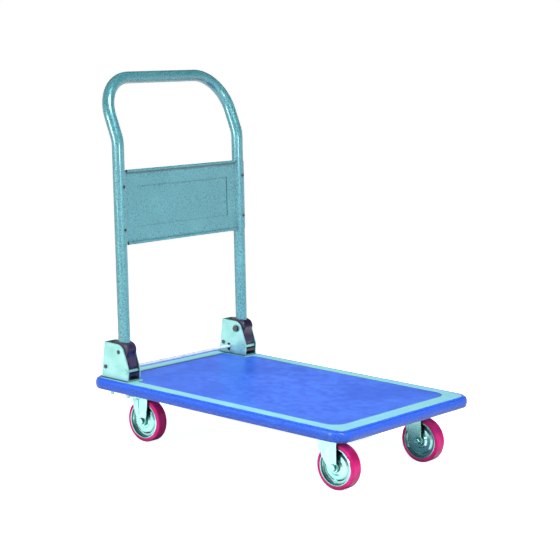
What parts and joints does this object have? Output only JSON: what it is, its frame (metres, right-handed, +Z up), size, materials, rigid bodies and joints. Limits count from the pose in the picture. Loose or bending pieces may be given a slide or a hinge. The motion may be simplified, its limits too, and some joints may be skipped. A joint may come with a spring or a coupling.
{
  "type": "platform trolley",
  "caption": "Flat-deck hand trolley with a rubber-edged platform on caster wheels and a tubular push handle that folds down over it.",
  "frame": {"origin": "on the floor under the middle of the whole trolley's box, with the handle upright", "axes": "+X towards the front end away from the handle, +Y to the pusher's left, +Z up"},
  "size_m": [0.7644, 0.48, 0.8462],
  "materials": {
    "deck_paint": "semi-gloss light aqua paint",
    "deck_mat": "matt blue ribbed vinyl mat",
    "bumper_rubber": "satin blue rubber",
    "channel_paint": "semi-gloss light aqua paint",
    "handle_paint": "hammered teal paint",
    "shoe_casting": "dark satin paint on casting",
    "urethane": "satin crimson urethane",
    "bush_nylon": "matt nylon",
    "ball_steel": "polished",
    "dark_steel": "oiled dark steel",
    "wheel_zinc": "bright zinc plate on the casters",
    "bright_steel": "bright zinc",
    "zinc_plate": "zinc plated pressed steel, pale mint tint"
  },
  "bodies": {
    "deck": {"deck_tray": "deck_paint", "deck_mat": "deck_mat", "edge_bumper": "bumper_rubber", "cross_channel_rear": "channel_paint", "cross_channel_front": "channel_paint", "caster_bolts": "zinc_plate", "caster_nuts": "zinc_plate", "bracket_bolts": "zinc_plate", "bracket_nuts": "zinc_plate", "bracket_spacers": "zinc_plate", "pivot_pins": "dark_steel", "stop_pins": "zinc_plate", "tie_rivets": "dark_steel", "hinge_bracket_left": "zinc_plate", "hinge_bracket_right": "zinc_plate", "swivel_plate_left": "wheel_zinc", "swivel_plate_right": "wheel_zinc", "kingpin_left": "bright_steel", "kingpin_right": "bright_steel", "front_fork_left": "wheel_zinc", "front_fork_right": "wheel_zinc", "axle_front_left": "wheel_zinc", "axle_front_right": "wheel_zinc", "axle_sleeve_front_left": "zinc_plate", "axle_sleeve_front_right": "zinc_plate"},
    "handle": {"handle_tube": "handle_paint", "handle_panel": "handle_paint", "panel_screws": "dark_steel", "hinge_shoe_left": "shoe_casting", "hinge_shoe_right": "shoe_casting"},
    "release": {"release_bar": "bright_steel", "lock_block_left": "shoe_casting", "lock_block_right": "shoe_casting", "release_springs": "dark_steel"},
    "swivel_left": {"rear_fork_left": "wheel_zinc", "swivel_balls_left": "ball_steel", "axle_rear_left": "wheel_zinc", "axle_sleeve_rear_left": "zinc_plate"},
    "swivel_right": {"rear_fork_right": "wheel_zinc", "swivel_balls_right": "ball_steel", "axle_rear_right": "wheel_zinc", "axle_sleeve_rear_right": "zinc_plate"},
    "wheel_rear_left": {"tyre_rear_left": "urethane", "wheel_discs_rear_left": "wheel_zinc", "wheel_hub_rear_left": "wheel_zinc", "wheel_bushes_rear_left": "bush_nylon"},
    "wheel_rear_right": {"tyre_rear_right": "urethane", "wheel_discs_rear_right": "wheel_zinc", "wheel_hub_rear_right": "wheel_zinc", "wheel_bushes_rear_right": "bush_nylon"},
    "wheel_front_left": {"tyre_front_left": "urethane", "wheel_discs_front_left": "wheel_zinc", "wheel_hub_front_left": "wheel_zinc", "wheel_bushes_front_left": "bush_nylon"},
    "wheel_front_right": {"tyre_front_right": "urethane", "wheel_discs_front_right": "wheel_zinc", "wheel_hub_front_right": "wheel_zinc", "wheel_bushes_front_right": "bush_nylon"}
  },
  "joints": [
    {"name": "handle_fold", "type": "hinge", "parent": "deck", "child": "handle", "pos_m": [-0.28048, 0, 0.2156], "axis": [0, 1, 0], "range_deg": [0, 93]},
    {"name": "release_press", "type": "slide", "parent": "deck", "child": "release", "axis": [0, 0, -1], "range_m": [0, 0.005], "stiffness_N_per_m": 4000, "springref_m": -0.003, "deforming": ["release_springs"]},
    {"name": "caster_swivel_left", "type": "hinge", "parent": "deck", "child": "swivel_left", "pos_m": [-0.28178, 0.153, 0.11], "axis": [0, 0, 1], "continuous": true},
    {"name": "caster_swivel_right", "type": "hinge", "parent": "deck", "child": "swivel_right", "pos_m": [-0.28178, -0.153, 0.11], "axis": [0, 0, 1], "continuous": true},
    {"name": "wheel_spin_rear_left", "type": "hinge", "parent": "swivel_left", "child": "wheel_rear_left", "pos_m": [-0.25378, 0.153, 0.05], "axis": [0, 1, 0], "continuous": true},
    {"name": "wheel_spin_rear_right", "type": "hinge", "parent": "swivel_right", "child": "wheel_rear_right", "pos_m": [-0.25378, -0.153, 0.05], "axis": [0, 1, 0], "continuous": true},
    {"name": "wheel_spin_front_left", "type": "hinge", "parent": "deck", "child": "wheel_front_left", "pos_m": [0.30922, 0.153, 0.05], "axis": [0, 1, 0], "continuous": true},
    {"name": "wheel_spin_front_right", "type": "hinge", "parent": "deck", "child": "wheel_front_right", "pos_m": [0.30922, -0.153, 0.05], "axis": [0, 1, 0], "continuous": true}
  ]
}
